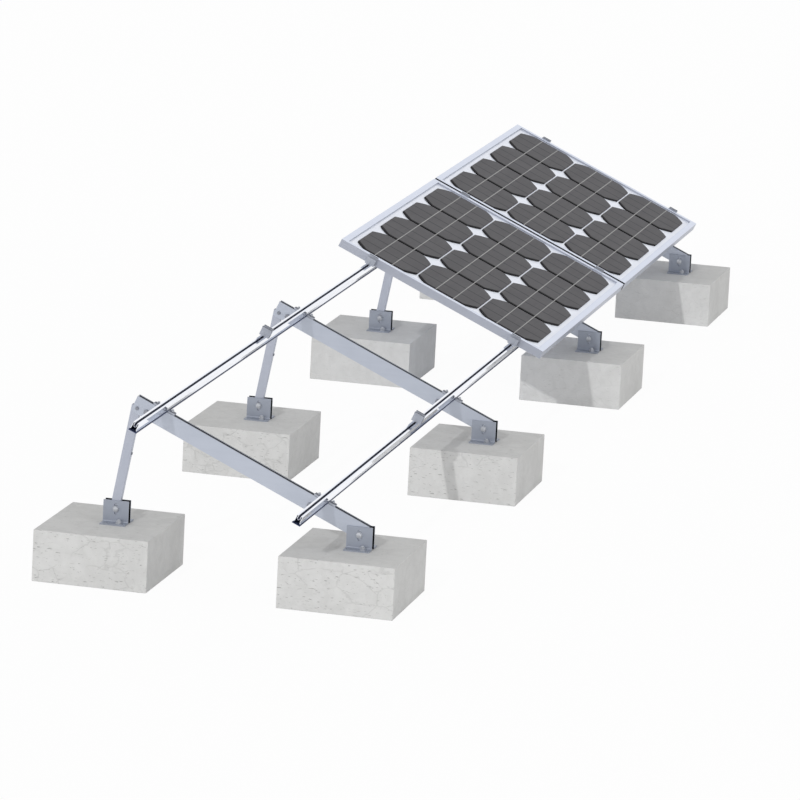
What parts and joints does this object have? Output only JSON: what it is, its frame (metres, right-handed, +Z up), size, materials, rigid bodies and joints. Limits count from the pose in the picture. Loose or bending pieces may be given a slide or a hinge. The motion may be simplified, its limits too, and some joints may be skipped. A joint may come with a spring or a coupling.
{
  "type": "solar panel mounting rack",
  "caption": "Ballasted ground rack: concrete blocks, bolted tilted frames and two long slotted rails that carry landscape solar panels under winged channel clamps.",
  "frame": {"origin": "on the ground, at the middle of the rack between the two middle frames and midway between the two rows of blocks", "axes": "+X along the rails from the bare end to the panels, +Y from the low side to the high side, +Z up"},
  "size_m": [6.97, 1.405, 0.7864],
  "materials": {
    "concrete": "rough cast",
    "beam_aluminium": "satin anodised",
    "bracket_aluminium": "satin anodised",
    "rail_aluminium": "bright anodised",
    "panel_frame": "satin anodised",
    "panel_sheet": "smooth",
    "cells": "satin",
    "ribbons": "tinned",
    "fasteners": "bright zinc"
  },
  "bodies": {
    "root": {"block_front_1": "concrete", "block_rear_1": "concrete", "brackets_front_1": "bracket_aluminium", "brackets_rear_1": "bracket_aluminium", "beam_1": "beam_aluminium", "leg_1": "beam_aluminium", "rail_clamps_1": "rail_aluminium", "panel_clamp_lower_1": "rail_aluminium", "panel_clamp_upper_1": "rail_aluminium", "block_front_2": "concrete", "block_rear_2": "concrete", "brackets_front_2": "bracket_aluminium", "brackets_rear_2": "bracket_aluminium", "beam_2": "beam_aluminium", "leg_2": "beam_aluminium", "rail_clamps_2": "rail_aluminium", "panel_clamp_lower_2": "rail_aluminium", "panel_clamp_upper_2": "rail_aluminium", "block_front_3": "concrete", "block_rear_3": "concrete", "brackets_front_3": "bracket_aluminium", "brackets_rear_3": "bracket_aluminium", "beam_3": "beam_aluminium", "leg_3": "beam_aluminium", "rail_clamps_3": "rail_aluminium", "panel_clamp_lower_3": "rail_aluminium", "panel_clamp_upper_3": "rail_aluminium", "block_front_4": "concrete", "block_rear_4": "concrete", "brackets_front_4": "bracket_aluminium", "brackets_rear_4": "bracket_aluminium", "beam_4": "beam_aluminium", "leg_4": "beam_aluminium", "rail_clamps_4": "rail_aluminium", "panel_clamp_lower_4": "rail_aluminium", "panel_clamp_upper_4": "rail_aluminium", "rail_lower": "rail_aluminium", "rail_upper": "rail_aluminium", "panel_1_frame_low": "panel_frame", "panel_1_frame_high": "panel_frame", "panel_1_frame_near": "panel_frame", "panel_1_frame_far": "panel_frame", "panel_1_sheet": "panel_sheet", "panel_1_cells": "cells", "panel_1_ribbons": "ribbons", "panel_2_frame_low": "panel_frame", "panel_2_frame_high": "panel_frame", "panel_2_frame_near": "panel_frame", "panel_2_frame_far": "panel_frame", "panel_2_sheet": "panel_sheet", "panel_2_cells": "cells", "panel_2_ribbons": "ribbons", "foot_bolts": "fasteners", "anchor_bolts": "fasteners", "leg_bolts": "fasteners", "cross_bolts": "fasteners", "rail_clamp_bolts": "fasteners", "panel_clamp_bolts": "fasteners"}
  },
  "joints": []
}
